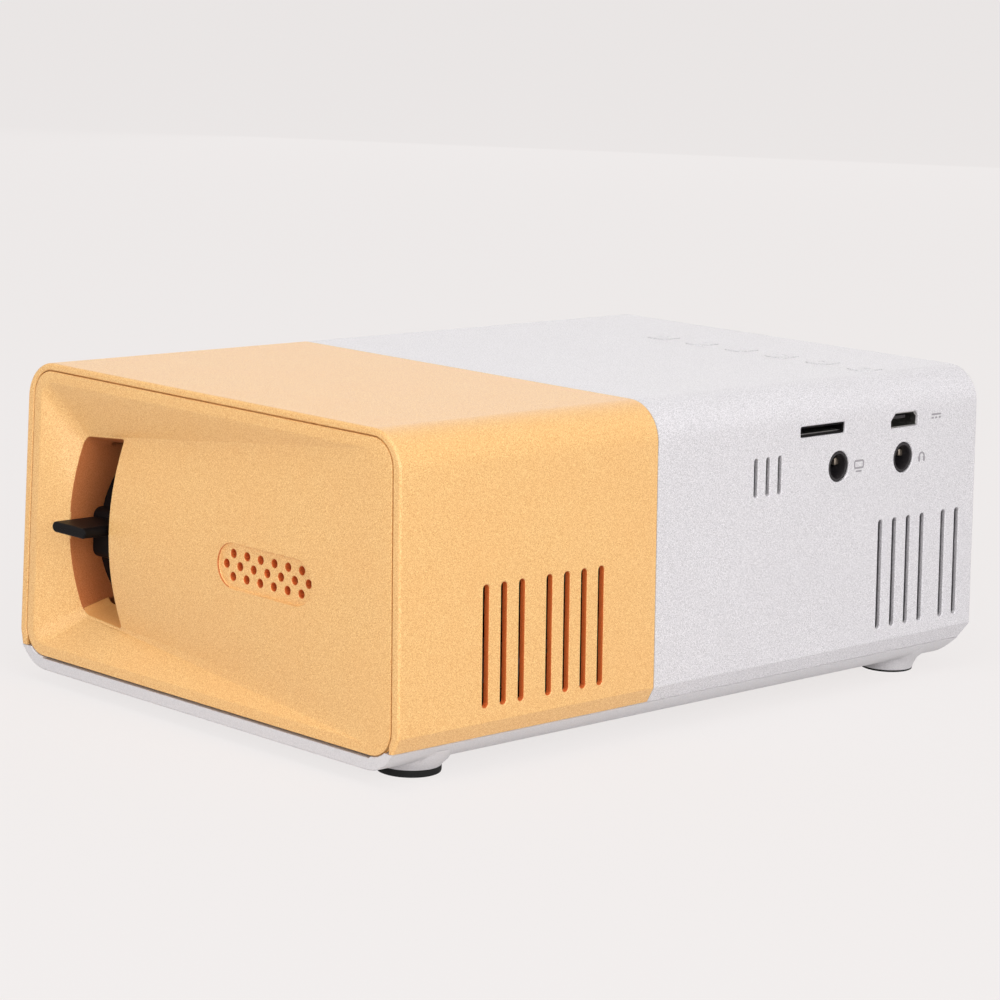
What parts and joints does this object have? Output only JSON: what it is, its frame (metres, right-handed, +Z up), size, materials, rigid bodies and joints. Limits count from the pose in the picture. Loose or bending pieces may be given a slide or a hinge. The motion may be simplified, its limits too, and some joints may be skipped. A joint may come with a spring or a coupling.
{
  "type": "pocket projector",
  "caption": "Box-shaped pocket projector in two joined shells: lens on a long side, focus lever and speaker grille in a dished end, sockets and cooling slots behind, keys on top.",
  "frame": {"origin": "middle of the whole object in plan, at the underside of the four rubber feet", "axes": "+Z up; +X along the body from the white end to the orange end with the focus lever; +Y from the lens side to the socket side"},
  "size_m": [0.1284, 0.0846, 0.0491],
  "materials": {
    "orange_shell": "fine matte moulded grain",
    "white_shell": "fine matte moulded grain",
    "black_plastic": "fine moulded",
    "dark_gloss": "gloss",
    "rubber": "matt",
    "steel": "plated",
    "brass": "satin",
    "aluminium": "satin",
    "glass": "polished",
    "clear_plastic": "clear",
    "board": "satin lacquer",
    "lamp": "phosphor",
    "film": "satin film"
  },
  "bodies": {
    "body": {"orange_housing": "orange_shell", "white_housing": "white_shell", "base_cover": "white_shell", "end_panel": "orange_shell", "lens_sleeve": "black_plastic", "lens_bezel": "black_plastic", "light_box": "black_plastic", "light_box_lid": "black_plastic", "front_fresnel_lens": "clear_plastic", "picture_panel": "dark_gloss", "rear_fresnel_lens": "clear_plastic", "condenser_lens": "clear_plastic", "picture_ribbon": "film", "led_emitter": "lamp", "led_board": "aluminium", "heat_sink": "aluminium", "fan_frame": "black_plastic", "speaker_frame": "black_plastic", "speaker_cone": "black_plastic", "main_board": "board", "card_socket": "steel", "power_socket": "steel", "av_jack": "black_plastic", "headphone_jack": "black_plastic", "usb_socket": "steel", "hdmi_socket": "steel", "ir_window": "dark_gloss", "ir_receiver": "black_plastic", "key_switch_1": "steel", "key_switch_2": "steel", "key_switch_3": "steel", "key_switch_4": "steel", "key_switch_5": "steel", "key_switch_6": "steel", "foot_pad_orange_front": "rubber", "foot_pad_orange_rear": "rubber", "foot_pad_white_front": "rubber", "foot_pad_white_rear": "rubber", "base_screw_1": "steel", "base_screw_2": "steel", "base_screw_3": "steel", "base_screw_4": "steel", "board_screw_1": "steel", "board_screw_2": "steel", "tripod_insert": "brass"},
    "focus_ring": {"focus_ring": "black_plastic"},
    "lens_barrel": {"lens_barrel": "black_plastic", "front_lens": "glass", "rear_lens": "glass", "lens_retainer": "black_plastic"},
    "fan_rotor": {"fan_rotor": "black_plastic"},
    "key_1": {"key_1": "white_shell"},
    "key_2": {"key_2": "white_shell"},
    "key_3": {"key_3": "white_shell"},
    "key_4": {"key_4": "white_shell"},
    "key_5": {"key_5": "white_shell"},
    "key_6": {"key_6": "white_shell"}
  },
  "joints": [
    {"name": "focus_turn", "type": "hinge", "parent": "body", "child": "focus_ring", "pos_m": [0.03408, -0.02725, 0.0252], "axis": [0, 1, 0], "range_deg": [-26, 26]},
    {"name": "lens_slide", "type": "slide", "parent": "body", "child": "lens_barrel", "axis": [0, 1, 0], "range_m": [-0.002, 0.002]},
    {"name": "fan_spin", "type": "hinge", "parent": "body", "child": "fan_rotor", "pos_m": [0.03408, 0.0354, 0.0228], "axis": [0, 1, 0], "continuous": true},
    {"name": "key_1_press", "type": "slide", "parent": "body", "child": "key_1", "axis": [0, 0, -1], "range_m": [0, 0.0004], "stiffness_N_per_m": 300},
    {"name": "key_2_press", "type": "slide", "parent": "body", "child": "key_2", "axis": [0, 0, -1], "range_m": [0, 0.0004], "stiffness_N_per_m": 300},
    {"name": "key_3_press", "type": "slide", "parent": "body", "child": "key_3", "axis": [0, 0, -1], "range_m": [0, 0.0004], "stiffness_N_per_m": 300},
    {"name": "key_4_press", "type": "slide", "parent": "body", "child": "key_4", "axis": [0, 0, -1], "range_m": [0, 0.0004], "stiffness_N_per_m": 300},
    {"name": "key_5_press", "type": "slide", "parent": "body", "child": "key_5", "axis": [0, 0, -1], "range_m": [0, 0.0004], "stiffness_N_per_m": 300},
    {"name": "key_6_press", "type": "slide", "parent": "body", "child": "key_6", "axis": [0, 0, -1], "range_m": [0, 0.0004], "stiffness_N_per_m": 300}
  ],
  "couplings": [
    {"joint": "lens_slide", "follows": "focus_turn", "m_per_rad": 0.0042}
  ]
}
